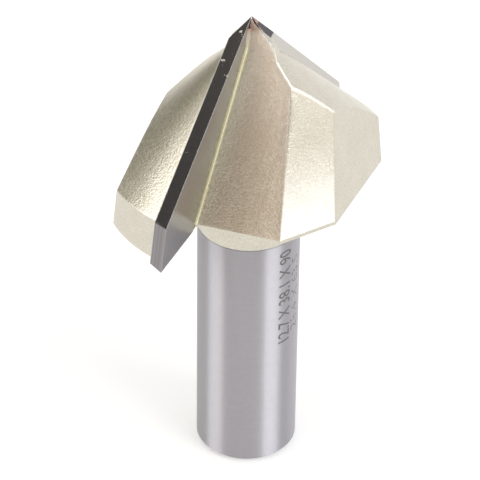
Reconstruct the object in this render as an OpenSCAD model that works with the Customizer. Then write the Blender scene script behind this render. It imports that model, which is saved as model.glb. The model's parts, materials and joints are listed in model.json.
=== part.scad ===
// Two-flute V groove router bit, standing on the end of its shank with the tip up.
// The steel body is one turned and milled piece. Two carbide cutters are brazed to it.
// Origin: centre of the shank end. +Z runs along the axis to the tip. Millimetres.

/* [Shank] */
// Diameter of the shank, the part that the collet grips
shank_d = 12.7; // [8:0.1:14]
// Length of the shank, from its end to the underside of the head
shank_l = 38.1; // [25:0.1:60]
// Chamfer on the end of the shank
end_chamfer = 0.6; // [0.2:0.1:1.5]
// Radius where the shank runs into the underside of the head
neck_fillet = 0.8; // [0.3:0.1:1.5]

/* [Cutting form] */
// Diameter that the cutters sweep
cut_d = 38.1; // [34:0.1:44]
// Angle between the two cutting edges
v_angle = 90; // [80:1:100]
// Length of the head, from the tip to its underside
head_l = 25.4; // [24:0.1:30]
// How far the steel stays inside the outline that the cutters sweep
body_relief = 1.4; // [0.8:0.1:1.8]
// How far the steel nose stays below that outline, between the cutters
nose_gap = 0.4; // [0.3:0.05:0.7]
// Radius of the steel nose, where it turns down to the cone
nose_r = 2.4; // [1.8:0.1:2.8]
// Radius of its foot on the cone
nose_foot = 3.4; // [3:0.1:4.5]

/* [Gullets] */
// Direction that the gullet floor faces, counted round from the cutter beside it
floor_turn = 5.8; // [2:0.1:9]
// Distance from the axis to the gullet floor, at its lower edge
floor_dist = 9; // [8.2:0.1:9.8]
// Depth below the tip at which the gullet floor runs out towards the axis
floor_top = 4; // [3:0.1:5]
// Direction that the heel flat faces, counted round from the same cutter
heel_turn = 55.7; // [50:0.1:62]
// Distance from the axis to the heel flat, at its lower edge
heel_dist = 11; // [10:0.1:12.5]
// Lean of the heel flat against the axis
heel_lean = 18.5; // [14:0.1:22]
// Height of the upright land that is left under the floor and the heel flat
land = 0.5; // [0.2:0.1:1]
// Half of the thin web that is left between the cutters' noses
nose_web = 0.25; // [0.15:0.05:0.4]
// Direction that the back flat faces, counted round from the same cutter
back_turn = 90; // [84:1:96]
// Distance from the axis to the back flat, at the underside
back_dist = 12.15; // [11.6:0.05:13.4]
// Lean of the back flat against the axis
back_lean = 10; // [6:0.1:14]

/* [Cutters] */
// Direction of the first cutter round the axis, seen from the tip, 0 along +X
cutter_az = -113.7; // [-180:0.1:180]
// Shear, the lean of the cutters' faces against the axis
shear = 6.5; // [3:0.1:9]
// Thickness of a carbide cutter
plate_t = 1.9; // [1.5:0.1:2.4]
// Relief ground behind the cutting edges
relief = 25; // [15:1:28]
// Angle of the bevel that trims the back of each cutter's nose
nose_bevel = 30; // [24:1:36]
// Rise of that bevel's foot, against a level line across the cutter's face
nose_turn = 13; // [5:1:20]
// How far the cutters reach below the underside of the head
overhang = 0.3; // [0.1:0.1:0.8]
// Steel ledge between the gullet floor and the inner edge of a cutter
ledge = 0.3; // [0.2:0.05:0.45]

/* [Braze] */
// Thickness of the braze under a cutter
braze_t = 0.15; // [0.1:0.01:0.2]
// Width of the braze fillet on the cutter's face and the ledge
bead_w = 0.5; // [0.4:0.05:0.8]
// Height of the braze fillet against the gullet floor
bead_h = 0.3; // [0.2:0.05:0.5]
// Depth below the tip at which the fillet ends, on the web between the noses
bead_top = 1.5; // [1.2:0.1:3]

/* [Hidden] */
$fn = 96;

// Sweep of the cutting edges and the steel blank inside it
half_v = v_angle / 2;
cut_r = cut_d / 2;
shank_r = shank_d / 2;
tip_z = shank_l + head_l;
blank_r = cut_r - body_relief;
blank_top_z = tip_z - body_relief / sin(half_v);
rim_top_z = blank_top_z - blank_r / tan(half_v);

// Points in the plane of a cutter's face: x outwards, y up the face from the tip
corner_y = -cut_r / tan(half_v) / cos(shear);
under_y = -head_l / cos(shear);
heel_y = -(head_l + overhang) / cos(shear);
function sweep_x(y) = sqrt(pow(cut_r, 2) - pow(y * sin(shear), 2));
corner_x = sweep_x(corner_y);
edge_turn = atan2(corner_y, corner_x);
rim_turn = atan2(heel_y - corner_y, sweep_x(heel_y) - corner_x);

// Lean of the gullet floor against the axis, the line where it meets the plane of the
// cutter's face, and the inner edge of the cutter beside it
floor_lean = atan2(floor_dist, head_l - land - floor_top);
floor_x = cos(floor_lean) * cos(floor_turn);
floor_y = cos(floor_lean) * sin(floor_turn) * sin(shear) + sin(floor_lean) * cos(shear);
floor_z = sin(floor_lean) * sin(shear) - cos(floor_lean) * sin(floor_turn) * cos(shear);
floor_d = cos(floor_lean) * floor_dist - sin(floor_lean) * (head_l - land);
root_lean = atan2(floor_y, floor_x);
function root_x(y) = (floor_d - floor_y * y) / floor_x;
function inner_x(y) = root_x(y) + ledge;
function inner_y(x) = (floor_d - floor_x * (x - ledge)) / floor_y;

// Reach of the cutting tools' solids, past everything that they cut
reach = cut_d + head_l;
// Overlap of one cut into the next, so that no film is left between them
bite = 0.05;

// Puts children from the plane of a cutter's face to its place: z runs back into the steel
module on_face() {
    translate([0, 0, tip_z])
        rotate([0, 0, cutter_az])
            rotate([90 - shear, 0, 0])
                children();
}

// Repeats children after half a turn about the axis
module half_turn() {
    rotate([0, 0, 180])
        children();
}

// Everything outside a flat that faces turn degrees round from the first cutter,
// leans by lean against the axis and lies dist from the axis at height z
module beyond_flat(turn, dist, lean, z) {
    rotate([0, 0, cutter_az + turn])
        translate([dist, 0, z])
            rotate([0, -lean, 0])
                translate([0, -reach, -reach])
                    cube([reach, 2 * reach, 2 * reach]);
}

// Turned blank: shank with its chamfer, underside, rim and cone
module blank() {
    rotate_extrude()
        polygon([
            [0, 0],
            [shank_r - end_chamfer, 0],
            [shank_r, end_chamfer],
            [shank_r, shank_l],
            [blank_r, shank_l],
            [blank_r, rim_top_z],
            [0, blank_top_z]
        ]);
}

// Nose on the blank, ground off just under the relief behind the cutting edges
module nose() {
    foot_z = blank_top_z - nose_foot / tan(half_v);
    difference() {
        rotate_extrude()
            polygon([
                [0, foot_z],
                [nose_foot, foot_z],
                [nose_r, tip_z - 1.5 * nose_gap - nose_r / tan(half_v)],
                [0, tip_z - nose_gap]
            ]);
        for (turn = [0, 180])
            rotate([0, 0, turn])
                on_face()
                    beyond_relief([0, -2 * bite], edge_turn);
    }
}

// Fillet between the shank and the underside of the head
module neck() {
    rotate_extrude()
        difference() {
            translate([shank_r / 2, shank_l - neck_fillet])
                square([shank_r / 2 + neck_fillet, neck_fillet + bite]);
            translate([shank_r + neck_fillet, shank_l - neck_fillet])
                circle(r = neck_fillet);
        }
}

// Gullet in front of the first cutter, with the heel and back flats of the other wing
module gullet() {
    lower_z = shank_l + land;
    intersection() {
        on_face()
            translate([-reach, -reach, -reach])
                cube([2 * reach, 2 * reach, reach]);
        union() {
            intersection() {
                union() {
                    beyond_flat(floor_turn, floor_dist, floor_lean, lower_z);
                    beyond_flat(floor_turn, floor_dist, 0, lower_z);
                }
                beyond_flat(0, nose_web, 0, lower_z);
            }
            beyond_flat(heel_turn, heel_dist, heel_lean, lower_z);
            beyond_flat(heel_turn, heel_dist, 0, lower_z);
            beyond_flat(back_turn, back_dist, back_lean, shank_l);
        }
    }
}

// Space past the bevel on the back of a cutter's nose, moved back by a gap
module beyond_nose(gap) {
    rotate([0, 0, nose_turn])
        rotate([-nose_bevel, 0, 0])
            translate([-reach, -reach, gap])
                cube([2 * reach, 2 * reach, reach]);
}

// Space past the relief behind an edge that starts at a point and runs at a turn
module beyond_relief(start, turn) {
    translate([start[0], start[1], 0])
        rotate([0, 0, turn])
            rotate([relief, 0, 0])
                translate([-reach, 0, -reach])
                    cube([2 * reach, reach, 2 * reach]);
}

// Carbide cutter in the plane of its face
module plate() {
    difference() {
        linear_extrude(height = plate_t)
            polygon([
                [0, 0],
                [corner_x, corner_y],
                [sweep_x(heel_y), heel_y],
                [inner_x(heel_y), heel_y],
                [0, inner_y(0)]
            ]);
        beyond_relief([0, 0], edge_turn);
        beyond_relief([corner_x, corner_y], rim_turn);
        beyond_nose(0);
    }
}

// Seat milled for a cutter, deeper than the cutter by the braze, open outwards and below
module seat() {
    wall_x = braze_t / cos(root_lean);
    low_y = heel_y - overhang - 1;
    difference() {
        translate([0, 0, -bite])
            linear_extrude(height = bite + plate_t + braze_t)
                polygon([
                    [-braze_t, reach],
                    [reach, reach],
                    [reach, low_y],
                    [inner_x(low_y) - wall_x, low_y],
                    [-braze_t, inner_y(wall_x - braze_t)]
                ]);
        beyond_nose(braze_t);
    }
}

// Braze fillet on a cutter's face, up the gullet floor and on up the web between the noses
module bead() {
    foot_y = under_y + land / cos(shear);
    bend_y = inner_y(nose_web + ledge);
    open_x = bead_h * floor_z / norm([floor_x, floor_y]);
    translate([root_x(foot_y), foot_y, 0])
        rotate([0, 0, root_lean])
            rotate([-90, 0, 0])
                linear_extrude(height = (bend_y - foot_y) / cos(root_lean))
                    polygon([[0, 0], [bead_w, 0], [open_x, bead_h]]);
    translate([nose_web, bend_y, 0])
        rotate([-90, 0, 0])
            linear_extrude(height = -bead_top - bend_y)
                polygon([[0, 0], [bead_w, 0], [0, bead_h]]);
}

module cutter() {
    color([0.36, 0.34, 0.36])
        on_face()
            plate();
}

module braze() {
    color([0.85, 0.80, 0.58]) {
        difference() {
            intersection() {
                on_face()
                    seat();
                union() {
                    blank();
                    nose();
                }
            }
            on_face() {
                plate();
                translate([0, 0, -2 * bite])
                    plate();
            }
        }
        on_face()
            bead();
    }
}

module steel_body() {
    color([0.80, 0.77, 0.68])
        difference() {
            union() {
                blank();
                nose();
                neck();
            }
            for (turn = [0, 180]) {
                rotate([0, 0, turn]) {
                    gullet();
                    on_face()
                        seat();
                }
            }
        }
}

module cutter_a() {
    cutter();
}

module cutter_b() {
    half_turn()
        cutter();
}

module braze_a() {
    braze();
}

module braze_b() {
    half_turn()
        braze();
}

steel_body();
cutter_a();
cutter_b();
braze_a();
braze_b();
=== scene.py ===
import json
import math

import bpy
import bmesh
from mathutils import Matrix, Vector


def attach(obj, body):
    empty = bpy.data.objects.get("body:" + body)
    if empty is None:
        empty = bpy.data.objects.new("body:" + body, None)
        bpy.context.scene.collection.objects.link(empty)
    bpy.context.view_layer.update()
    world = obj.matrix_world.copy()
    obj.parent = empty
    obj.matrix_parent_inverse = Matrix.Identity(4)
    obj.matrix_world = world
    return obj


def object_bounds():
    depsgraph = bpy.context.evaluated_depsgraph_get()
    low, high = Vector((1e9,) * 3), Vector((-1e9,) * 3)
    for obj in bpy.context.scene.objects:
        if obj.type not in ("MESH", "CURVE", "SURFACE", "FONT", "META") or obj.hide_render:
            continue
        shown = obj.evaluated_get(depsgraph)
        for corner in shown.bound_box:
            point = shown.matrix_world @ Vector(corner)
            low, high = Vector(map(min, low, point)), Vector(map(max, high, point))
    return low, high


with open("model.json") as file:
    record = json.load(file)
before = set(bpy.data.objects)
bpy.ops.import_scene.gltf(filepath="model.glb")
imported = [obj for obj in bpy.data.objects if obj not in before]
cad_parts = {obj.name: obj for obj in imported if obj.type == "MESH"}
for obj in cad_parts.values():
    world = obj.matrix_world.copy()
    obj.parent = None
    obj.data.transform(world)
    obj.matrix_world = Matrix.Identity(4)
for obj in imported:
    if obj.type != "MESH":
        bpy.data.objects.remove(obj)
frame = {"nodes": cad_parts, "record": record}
cad_low, cad_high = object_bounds()

# Steel body: one piece, turned and milled from bar. The head is blasted and carries a
# champagne coating, which ends in a ring a little below it. The rest of the shank is
# ground and bare.


# A Wire is one output of a shader node. Numbers and Wires combine with the usual signs.
class Wire:
    def __init__(self, socket):
        self.socket = socket

    def maths(self, operation, first, second=None, clamp=False):
        step = self.socket.id_data.nodes.new("ShaderNodeMath")
        step.operation = operation
        step.use_clamp = clamp
        for slot, value in zip(step.inputs, (first, second)):
            join(slot, value)
        return Wire(step.outputs[0])

    def __add__(self, other):
        return self.maths("ADD", self, other)

    def __radd__(self, other):
        return self.maths("ADD", other, self)

    def __sub__(self, other):
        return self.maths("SUBTRACT", self, other)

    def __rsub__(self, other):
        return self.maths("SUBTRACT", other, self)

    def __mul__(self, other):
        return self.maths("MULTIPLY", self, other)

    def __rmul__(self, other):
        return self.maths("MULTIPLY", other, self)

    def __truediv__(self, other):
        return self.maths("DIVIDE", self, other)

    def __rtruediv__(self, other):
        return self.maths("DIVIDE", other, self)

    # From 0 to 1 where the value rises through a level, over the width of a blur
    def above(self, level, blur):
        return self.maths("ADD", (self - level) / blur, 0.5, clamp=True)

    # From 1 to 0 there
    def below(self, level, blur):
        return self.maths("ADD", (level - self) / blur, 0.5, clamp=True)

    def root(self):
        return self.maths("SQRT", self)

    def size(self):
        return self.maths("ABSOLUTE", self)

    def least(self, other):
        return self.maths("MINIMUM", self, other)

    def most(self, other):
        return self.maths("MAXIMUM", self, other)

    def capped(self):
        return self.least(1.0)


# Gives a socket its value, or links it to a Wire
def join(slot, value):
    if value is None:
        return
    if isinstance(value, Wire):
        slot.id_data.links.new(value.socket, slot)
    else:
        slot.default_value = value


# The node tree of a material, or of the light around the bit. On the bit its place is in
# millimetres, and for the light it is the direction that is looked in.
class Finish:
    def __init__(self, owner, coordinates="Object", scale=1000.0):
        owner.use_nodes = True
        self.owner = owner
        self.tree = owner.node_tree
        self.tree.nodes.clear()
        sources = self.node("ShaderNodeTexCoord")
        self.facing = sources["Normal"]
        self.place = self.node(
            "ShaderNodeVectorMath", {"operation": "SCALE"}, {0: sources[coordinates], "Scale": scale}
        )["Vector"]
        axes = self.node("ShaderNodeSeparateXYZ", {}, {0: self.place})
        self.x = axes["X"]
        self.y = axes["Y"]
        self.z = axes["Z"]

    # Any node but a Math node: its type, its settings, and the values or links of its sockets
    def node(self, kind, settings={}, values={}):
        made = self.tree.nodes.new(kind)
        for key, value in settings.items():
            if key == "stops":
                for stop in value[2:]:
                    made.color_ramp.elements.new(0.5)
                for stop, (at, colour) in zip(made.color_ramp.elements, value):
                    stop.position = at
                    stop.color = (*colour, 1.0)
            else:
                setattr(made, key, value)
        for key, value in values.items():
            slot = made.inputs[key]
            if isinstance(value, tuple) and slot.type == "RGBA":
                value = (*value, 1.0)
            join(slot, value)
        return {out.name: Wire(out) for out in made.outputs if out.enabled}

    def noise(self, scale, detail=2.0):
        return self.node(
            "ShaderNodeTexNoise", {}, {"Vector": self.place, "Scale": scale, "Detail": detail}
        )["Fac"]

    # Bands that follow one another along a distance
    def bands(self, distance, detail):
        return self.node(
            "ShaderNodeTexNoise", {"noise_dimensions": "1D"},
            {"W": distance, "Scale": 1.0, "Detail": detail},
        )["Fac"]

    def blend(self, mask, first, second):
        return self.node(
            "ShaderNodeMix", {"data_type": "RGBA"}, {0: mask, 6: first, 7: second}
        )["Result"]

    def blend_way(self, mask, first, second):
        return self.node(
            "ShaderNodeMix", {"data_type": "VECTOR"}, {0: mask, 4: first, 5: second}
        )["Result"]

    # How much of a vector runs one way
    def share(self, vector, way):
        return self.node(
            "ShaderNodeVectorMath", {"operation": "DOT_PRODUCT"}, {0: vector, 1: way}
        )["Value"]

    # How far the surface lies past a point, counted along a way
    def past(self, way, point):
        return self.share(self.place, way) - way.dot(point)

    # How far the surface lies from a point
    def away(self, point):
        return self.node(
            "ShaderNodeVectorMath", {"operation": "DISTANCE"}, {0: self.place, 1: point}
        )["Value"]

    def bump(self, height, depth, strength, under=None):
        return self.node(
            "ShaderNodeBump", {},
            {"Height": height, "Distance": depth, "Strength": strength, "Normal": under},
        )["Normal"]

    # The surface's direction with its edges rounded by a radius in metres
    def round_edges(self, radius):
        return self.node("ShaderNodeBevel", {"samples": 8}, {"Radius": radius})["Normal"]

    def skin(self, **values):
        renamed = {key.replace("_", " "): value for key, value in values.items()}
        return self.node("ShaderNodeBsdfPrincipled", {}, renamed)["BSDF"]

    # The first skin, and the second where the mask is 1
    def either(self, mask, first, second):
        return self.node("ShaderNodeMixShader", {}, {0: mask, 1: first, 2: second})["Shader"]

    def finish(self, surface, output="ShaderNodeOutputMaterial"):
        self.node(output, {}, {"Surface": surface})
        return self.owner


def dress(names, finish):
    for name in names:
        mesh = frame["nodes"][name].data
        mesh.materials.clear()
        mesh.materials.append(finish)


# Heights and radii in millimetres. The steel's cone stays inside the sweep of the cutters. It
# ends in a nose between them, where the gullet floors run out on a thin web.
tip = Vector((0.0, 0.0, cad_high[2] * 1000.0))
under_head = tip.z - 25.4
land_top = under_head + 0.5
coat_end = under_head - 4.2
web_foot = tip.z - 4.0
web_from = tip.z - 5.5
body_relief = 1.4
cone_top = tip.z - body_relief * math.sqrt(2.0)
nose_foot_r = 3.4
nose_foot = cone_top - nose_foot_r
nose_top = tip.z - 0.5
nose_slope = 0.42

# The cutters' faces: their turn round the axis, their lean, and the way back into the steel
cutter_turn = math.radians(-113.7)
shear = math.radians(6.5)
into_steel = Matrix.Rotation(cutter_turn, 3, "Z") @ Vector((0.0, -math.cos(shear), math.sin(shear)))
plate = 1.9
seat_back = plate + 0.15


# A way or a place on one of the two wings, which lie half a turn apart: side is 1 or -1
def on_wing(side, x, y, z):
    return Vector((side * x, side * y, z))


# A flat that is milled on both wings. Its turn is counted round from the cutter, its lean
# against the axis, and it lies a distance out from the axis at the top of the land.
class Flat:
    def __init__(self, turn, lean, out):
        self.turn = cutter_turn + math.radians(turn)
        self.lean = math.radians(lean)
        self.level = out * math.cos(self.lean) + land_top * math.sin(self.lean)

    def way(self, side):
        flatwise = math.cos(self.lean)
        return on_wing(
            side, flatwise * math.cos(self.turn), flatwise * math.sin(self.turn), math.sin(self.lean)
        )

    # How much of a vector runs the way of this flat, on the wing where that is more
    def share(self, finish, vector):
        round_axis = finish.share(vector, Vector((math.cos(self.turn), math.sin(self.turn), 0.0)))
        up_axis = finish.share(vector, Vector((0.0, 0.0, 1.0)))
        return round_axis.size() * math.cos(self.lean) + up_axis * math.sin(self.lean)

    # How far the surface lies past this flat's plane on one wing
    def past(self, finish, side):
        return finish.share(finish.place, self.way(side)) - self.level


gullet_floor = Flat(5.8, 23.3, 9.0)
heel = Flat(55.7, 18.5, 11.0)
web = Flat(0.0, 0.0, 0.25)

steel = Finish(bpy.data.materials.new("champagne coat over blasted steel"))
grain = steel.noise(3.0, 2.0)
fine = steel.noise(5.5, 1.0)
cloud = steel.noise(0.35, 3.0)

# Where on the steel: on which flat, how far off the planes of floor and heel, and how far
# inside the turned form that the flats were milled into
on_floor = gullet_floor.share(steel, steel.facing).above(0.985, 0.01)
on_heel = heel.share(steel, steel.facing).above(0.985, 0.01)
on_web = web.share(steel, steel.facing).above(0.99, 0.005) * steel.z.above(web_from, 1.0)
off_floor = (gullet_floor.share(steel, steel.place) - gullet_floor.level).size()
off_heel = (heel.share(steel, steel.place) - heel.level).size()
from_axis = (steel.x * steel.x + steel.y * steel.y).root()
nose_side_r = nose_foot_r - (steel.z - nose_foot) * nose_slope
turned_r = (cone_top - steel.z).most(nose_side_r.least(nose_top - steel.z))
inside = turned_r - from_axis
on_turned = inside.size().below(0.3, 0.2)

# Blasting has rounded the edges, and most of all the edge between floor and heel, high up
by_heel = (off_floor + off_heel).below(2.3, 1.2) * inside.above(0.8, 0.8)
wide = steel.blend_way(steel.z.above(48.0, 7.0), steel.round_edges(0.0007), steel.round_edges(0.0020))
soft = steel.blend_way(by_heel, steel.round_edges(0.0004), wide)

# For each wing: how far across its floor, counted back from the cutter's face, and its
# ridges, where the flats meet the turned form, and the edge of the cutter's seat: these get a
# painted highlight. The web is turned the way of the floor, so that the two read as one sweep.
across = 0.0
painted_edge_highlight = 0.0
for side in (1.0, -1.0):
    behind = steel.past(on_wing(side, *into_steel), tip)
    this_floor = steel.share(steel.facing, gullet_floor.way(side)).above(0.985, 0.01)
    this_web = steel.share(steel.facing, web.way(side)).above(0.99, 0.005) * steel.z.above(web_from, 1.0)
    across = this_floor * behind + across
    one_sweep = (this_web + this_floor * steel.z.above(web_from + 0.2, 0.5)).capped()
    soft = steel.blend_way(one_sweep, soft, gullet_floor.way(side))
    past_floor = gullet_floor.past(steel, side)
    past_heel = heel.past(steel, side)
    floor_edge = past_floor.size().below(0.13, 0.1) * past_heel.below(0.15, 0.1)
    heel_edge = past_heel.size().below(0.06, 0.08) * past_floor.below(0.15, 0.1)
    web_edge = web.past(steel, side).size().below(0.1, 0.1) * steel.z.above(web_foot, 0.1)
    facet_edge = (floor_edge + heel_edge).capped() * steel.z.below(web_foot + 0.1, 0.1)
    seat_edge = (behind - seat_back).size().below(0.10, 0.08) * steel.z.above(45.0, 0.5)
    in_front = behind.below(0.0, 0.1)
    painted_edge_highlight = ((facet_edge + web_edge) * in_front + seat_edge).capped() * on_turned + painted_edge_highlight

# The gullet floor is browner than the rest, with streaks along it. It is greener beside the
# braze, and its lower part sparkles. Painted light: the floor is lighter at its top and towards
# the heel and has painted shade low down, and the heel flat is lighter low down.
tan_part = (on_floor + on_web).capped()
near_braze = on_floor * across.above(-1.3, 1.8)
near_heel = off_heel.below(0.8, 1.2) * steel.z.above(48.0, 7.0)
streaks = steel.bands(across * 1.6, 3.0)
sparkle = on_floor * steel.z.below(46.0, 9.0)
speck = (grain - 0.5) * 0.5 + (fine - 0.5) * 1.7
# Painted light and shade on the flats, by height and by nearness to the heel
heel_painted_light = steel.z.below(44.0, 9.0) * 0.5 - 0.10
floor_painted_light_streaks = (
    0.12 + steel.z.above(55.0, 9.0) * 0.36 - steel.z.below(50.0, 18.0) * 0.34
    + off_heel.below(2.2, 3.0) * 0.30 + near_heel * 0.08 + near_braze * 0.42
    + (streaks - 0.5) * 0.45
)
painted_light_streaks = on_heel * heel_painted_light + tan_part * floor_painted_light_streaks
coat_tone = steel.node(
    "ShaderNodeValToRGB",
    {"stops": [(0.0, (0.36, 0.32, 0.24)), (0.5, (0.61, 0.575, 0.495)), (1.0, (0.97, 0.94, 0.87))]},
    {"Fac": 0.5 + speck * (0.26 + sparkle * 0.55) + (cloud - 0.5) * 0.16 + painted_light_streaks},
)["Color"]
floor_tone = steel.blend(near_braze, (0.695, 0.59, 0.475), (0.68, 0.66, 0.47))
floor_and_coat = steel.blend(tan_part * 0.5, coat_tone, floor_tone)
# Painted highlight on the ridges and the seat's edge, in a pale champagne
with_edge_highlight = steel.blend(painted_edge_highlight.capped() * 0.6, floor_and_coat, (0.92, 0.90, 0.84))

# The coat has a copper colour at the very tip, and the upright land keeps its sharp edges
copper = (0.47, 0.345, 0.285)
at_tip = steel.away(tip).below(2.2 + (cloud - 0.5) * 1.5, 0.9)
on_land = steel.z.below(land_top + 0.1, 0.1)
plain = steel.node("ShaderNodeNewGeometry")["Normal"]
blasted = (grain * 0.6 + fine * (0.5 + sparkle * 0.4)) * (1.0 - on_heel * 0.25)
coat = steel.skin(
    Base_Color=steel.blend(at_tip * 0.9, with_edge_highlight, copper),
    Metallic=1.0,
    Roughness=0.33 + (grain - 0.5) * 0.2,
    Normal=steel.bump(blasted, 0.00008, 0.55, steel.blend_way(on_land, soft, plain)),
)

# The ground shank has rings from the wheel. Below the coat's edge a dark line is painted shade of its
# step, and the bottom end has painted shade where it stands
rings = steel.bands(steel.z * 9.0, 3.0)
scratch = steel.noise(1.4, 3.0)
ring_mask = (rings - 0.35) * 2.0 + (scratch - 0.5)
ground_tone = steel.blend(ring_mask, (0.44, 0.43, 0.46), (0.50, 0.485, 0.52))
coat_edge_shade = (steel.z - (coat_end - 0.12)).size().below(0.10, 0.08)
painted_end_shade = steel.z.below(0.45, 0.4)
darker = coat_edge_shade * 0.45 + painted_end_shade * 0.35
ground = steel.skin(
    Base_Color=steel.blend(darker, ground_tone, (0.16, 0.15, 0.14)),
    Metallic=1.0,
    Roughness=0.39 + (rings - 0.5) * 0.10 + (scratch - 0.5) * 0.06,
    Anisotropic=1.0,
    Anisotropic_Rotation=0.25,
    Normal=steel.bump(rings, 0.00001, 0.3, steel.round_edges(0.0002)),
)
on_head = (steel.z + 0.10 * steel.noise(1.5)).above(coat_end, 0.06)
dress(["steel_body"], steel.finish(steel.either(on_head, ground, coat)))

# Size marks: plain numbers etched along the shank, reading upwards, in two lines. They are
# a skin of darkened steel on the ground surface, and the second line is worn.
shank_r = frame["record"]["mounts"][0]["dims"]["r_mm"]


# Writes words up the shank. The letters' feet lie at a turn, and their tops to the left of
# it. The words start at a height and run, stand tall and lie proud by sizes in millimetres.
def mark(name, words, turn, start, run, tall, proud, finish):
    letters = bpy.data.curves.new(name, "FONT")
    letters.body = words
    letters.extrude = proud
    letters.resolution_u = 4
    loose = bpy.data.objects.new(name, letters)
    bpy.context.scene.collection.objects.link(loose)
    bpy.context.view_layer.update()
    seen = loose.evaluated_get(bpy.context.evaluated_depsgraph_get())
    mesh = bpy.data.meshes.new_from_object(seen)
    bpy.data.objects.remove(loose)
    shape = bmesh.new()
    shape.from_mesh(mesh)
    bmesh.ops.remove_doubles(shape, verts=shape.verts, dist=1e-5)
    wide_at = [point.co.x for point in shape.verts]
    tall_at = [point.co.y for point in shape.verts]
    for point in shape.verts:
        point.co.x = (point.co.x - min(wide_at)) / (max(wide_at) - min(wide_at)) * run
        point.co.y = (point.co.y - min(tall_at)) / (max(tall_at) - min(tall_at)) * tall
    strips = 8
    for cut in range(1, strips):
        bmesh.ops.bisect_plane(
            shape, geom=shape.verts[:] + shape.edges[:] + shape.faces[:],
            plane_co=(0.0, tall * cut / strips, 0.0), plane_no=(0.0, 1.0, 0.0),
        )
    for point in shape.verts:
        at = turn - point.co.y / shank_r
        out = shank_r + point.co.z
        point.co = Vector((out * math.cos(at), out * math.sin(at), start + point.co.x)) / 1000.0
    bmesh.ops.recalc_face_normals(shape, faces=shape.faces)
    shape.to_mesh(mesh)
    shape.free()
    mesh.name = name
    mesh.materials.clear()
    mesh.materials.append(finish)
    piece = bpy.data.objects.new(name, mesh)
    bpy.context.scene.collection.objects.link(piece)
    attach(piece, "root")


etched = Finish(bpy.data.materials.new("etched numbers"))
etched_skin = etched.finish(etched.skin(
    Base_Color=etched.blend(etched.noise(6.0), (0.10, 0.095, 0.10), (0.26, 0.25, 0.26)),
    Metallic=1.0,
    Roughness=0.55,
))
worn = Finish(bpy.data.materials.new("worn etched numbers"))
worn_skin = worn.finish(worn.skin(
    Base_Color=worn.blend((worn.noise(3.0) - 0.4) * 4.0, (0.20, 0.19, 0.20), (0.46, 0.45, 0.48)),
    Metallic=1.0,
    Roughness=0.5,
))
mark(
    "size_mark", "12.7 X 38.1 X 90", turn=math.radians(-35.5), start=18.3, run=14.2, tall=1.9,
    proud=0.012, finish=etched_skin,
)
mark(
    "length_mark", "25.4 X 63.5", turn=math.radians(-18.0), start=19.0, run=11.5, tall=1.6,
    proud=0.008, finish=worn_skin,
)

# Cutters: two plates of dark tungsten carbide, brazed into the wings half a turn apart.
# They went through blasting and coating with the head. Their faces, flanks and the front
# of the nose bevel were then ground bare, and the rest of the back kept the coat.
for name, side in (("cutter_a", 1.0), ("cutter_b", -1.0)):
    carbide = Finish(bpy.data.materials.new("tungsten carbide, " + name))
    grind = carbide.noise(5.0, 3.0)
    mottle = carbide.noise(0.8, 2.0)
    ragged = (carbide.noise(1.6, 3.0) - 0.5) * 1.1

    # The coat is kept on the back, past a ragged line on the nose bevel, at the very tip and
    # as a few specks on the upper flank
    behind = carbide.past(on_wing(side, *into_steel), tip)
    on_flank = behind.above(0.04, 0.03)
    on_back = behind.above(plate - 0.08, 0.05)
    bevel_way = on_wing(side, -0.692, 0.427, 0.582)
    on_nose = carbide.share(carbide.facing, bevel_way).above(0.98, 0.01)
    bare_way = on_wing(side, -0.454, -0.884, 0.108)
    bare_from = on_wing(side, -0.66, -0.07, 62.76)
    off_line = carbide.past(bare_way, bare_from) + ragged
    off_tip = carbide.away(tip) + ragged
    kept = on_nose * (off_line.below(-0.25, 0.1) + off_tip.below(1.1, 0.2)).capped()
    specks = carbide.noise(1.3, 4.0).above(0.69, 0.02) * on_flank * carbide.z.above(51.0, 2.0)
    coated = (on_back + specks + kept).capped()

    # The face is painted lighter high up and duller low down, as painted reflection. The flank
    # behind the cone's edge is painted nearly black, as a painted dark reflection, and the one behind
    # the rim's edge is lighter and shows the streaks of the wheel
    face_low_painted_reflection = carbide.blend(mottle, (0.37, 0.36, 0.36), (0.43, 0.42, 0.415))
    face_high_painted_reflection = carbide.blend(mottle, (0.40, 0.405, 0.43), (0.455, 0.46, 0.48))
    face_tone = carbide.blend(carbide.z.above(46.5, 3.0), face_low_painted_reflection, face_high_painted_reflection)
    painted_dark_flank = carbide.blend(mottle, (0.115, 0.108, 0.117), (0.145, 0.137, 0.147))
    wheel_streaks = (carbide.bands(behind * 5.0, 2.0) - 0.3) * 2.5
    rim_flank = carbide.blend(wheel_streaks, (0.19, 0.175, 0.18), (0.295, 0.275, 0.28))
    flank_tone = carbide.blend(carbide.z.below(44.5, 0.1), painted_dark_flank, rim_flank)
    bare = carbide.skin(
        Base_Color=carbide.blend(on_flank, face_tone, flank_tone),
        Metallic=1.0,
        Roughness=0.18 + (1.0 - on_flank) * 0.06 + (grind - 0.5) * 0.1,
        Normal=carbide.bump(grind, 0.00002, 0.2, carbide.round_edges(0.00004)),
    )
    kept_coat = carbide.skin(
        Base_Color=carbide.blend(off_tip.below(1.5, 0.5), (0.56, 0.54, 0.505), copper),
        Metallic=1.0,
        Roughness=0.40,
        Normal=carbide.bump(grind, 0.00006, 0.3),
    )
    dress([name], carbide.finish(carbide.either(coated, bare, kept_coat)))

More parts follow.
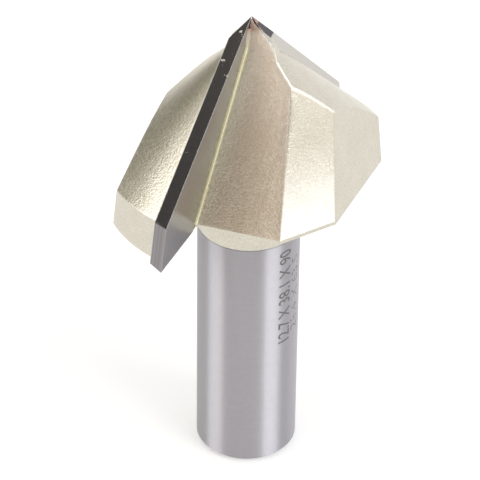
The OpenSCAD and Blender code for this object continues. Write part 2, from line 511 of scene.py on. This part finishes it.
# Braze: silver solder run in under each cutter, with a small fillet along its inner edge.
# It went under the same coating as the head, and shines more than the blasted steel. The
# fillet's middle carries a painted highlight, and its two borders painted shade.
solder = Finish(bpy.data.materials.new("silver solder under the coating"))
wet = solder.noise(2.2, 2.0)
border = 0.0
for side in (1.0, -1.0):
    off_face = solder.past(on_wing(side, *into_steel), tip).size()
    by_floor = off_face.above(0.21, 0.04) * off_face.below(0.5, 0.05)
    border = off_face.below(0.13, 0.05) + by_floor + border
fillet_painted_highlight = solder.blend(wet, (0.74, 0.70, 0.52), (1.0, 0.975, 0.83))
fillet_highlight_and_shade = solder.blend(border.capped() * 0.9, fillet_painted_highlight, (0.50, 0.47, 0.31))
faded = solder.blend(solder.z.above(59.6, 1.6), fillet_highlight_and_shade, (0.56, 0.53, 0.46))
solder_skin = solder.finish(solder.skin(
    Base_Color=solder.blend(solder.away(tip).below(2.2, 0.8), faded, copper),
    Metallic=1.0,
    Roughness=0.30 + (wet - 0.5) * 0.2,
    Normal=solder.bump(wet, 0.00008, 0.4),
))
dress(["braze_a", "braze_b"], solder_skin)

# Floor and light: a plain pale table in a soft tent with a tall box on either side of the
# camera. The gaps between them, and the front of the tent, are dimmer.
out_to = 1.5
table_corners = [(x * out_to, y * out_to, 0.0) for x, y in ((-1, -1), (1, -1), (1, 1), (-1, 1))]
floor_mesh = bpy.data.meshes.new("table")
floor_mesh.from_pydata(table_corners, [], [(0, 1, 2, 3)])
table = bpy.data.objects.new("table", floor_mesh)
bpy.context.scene.collection.objects.link(table)
paper = Finish(bpy.data.materials.new("white paper"))
floor_mesh.materials.append(paper.finish(paper.skin(
    Base_Color=(0.50, 0.50, 0.50),
    Roughness=0.9,
    Emission_Color=(1.0, 1.0, 1.0),
    Emission_Strength=0.42,
)))

tent = Finish(bpy.data.worlds.new("tent"), "Generated", 1.0)
degrees = math.degrees(1.0)
to_camera = 0.0 - tent.y
turn = tent.x.maths("ARCTAN2", tent.x, to_camera) * degrees
rise = tent.z.maths("ARCSINE", tent.z) * degrees


# A patch of the tent, in degrees: between two turns, counted from the camera towards +X,
# and between two rises
def patch(left, right, low, high, blur):
    across_it = turn.above(left, blur) * turn.below(right, blur)
    return across_it * rise.above(low, blur) * rise.below(high, blur)


tent_front = patch(-50.0, 32.0, -90.0, 28.0, 10.0)
left_box = patch(-87.0, -53.0, 2.0, 44.0, 6.0)
left_gap = patch(-150.0, -89.0, -90.0, 37.0, 6.0)
above_left_gap = patch(-150.0, -97.0, 30.0, 56.0, 6.0)
right_box = patch(38.0, 72.0, 12.0, 50.0, 4.0)
right_box_top = patch(34.0, 76.0, 46.0, 72.0, 8.0)
right_gap = patch(76.0, 100.0, -90.0, 40.0, 6.0)
glow = 1.10 + rise.above(70.0, 14.0) * 0.4
for mask, level in (
    (tent_front, 0.47), (left_box, 3.5), (left_gap, 0.24), (above_left_gap, 1.15),
    (right_box, 5.4), (right_box_top, 2.8), (right_gap, 0.45),
):
    glow = glow + mask * (level - glow)
warm_front = patch(-60.0, 30.0, -90.0, 30.0, 16.0)
yellow_left = patch(-165.0, -92.0, -90.0, 80.0, 20.0)
front_tint = tent.blend(warm_front, (1.0, 1.0, 1.0), (1.0, 0.85, 0.70))
tint = tent.blend(yellow_left, front_tint, (1.0, 0.96, 0.78))
tent.finish(
    tent.node("ShaderNodeBackground", {}, {"Color": tint, "Strength": glow})["Background"],
    "ShaderNodeOutputWorld",
)
bpy.context.scene.world = tent.owner
bpy.context.scene.view_settings.view_transform = "Standard"

# Camera: at the photograph's place, in front of the bit and 37 degrees above it, with a
# long lens and a slight roll. Its place is in metres.
lens = bpy.data.cameras.new("camera")
lens.lens = 228.32
lens.sensor_width = 36.0
lens.clip_start = 0.01
lens.clip_end = 10.0
camera = bpy.data.objects.new("camera", lens)
bpy.context.scene.collection.objects.link(camera)
bpy.context.scene.camera = camera
eye = Vector((0.0, -0.299234, 0.256982))
aim = Vector((-0.0010556, 0.0, 0.0306774))
roll = Matrix.Rotation(math.radians(0.7085), 4, "Z").to_quaternion()
camera.rotation_mode = "QUATERNION"
camera.location = eye
camera.rotation_quaternion = (aim - eye).to_track_quat("-Z", "Y") @ roll
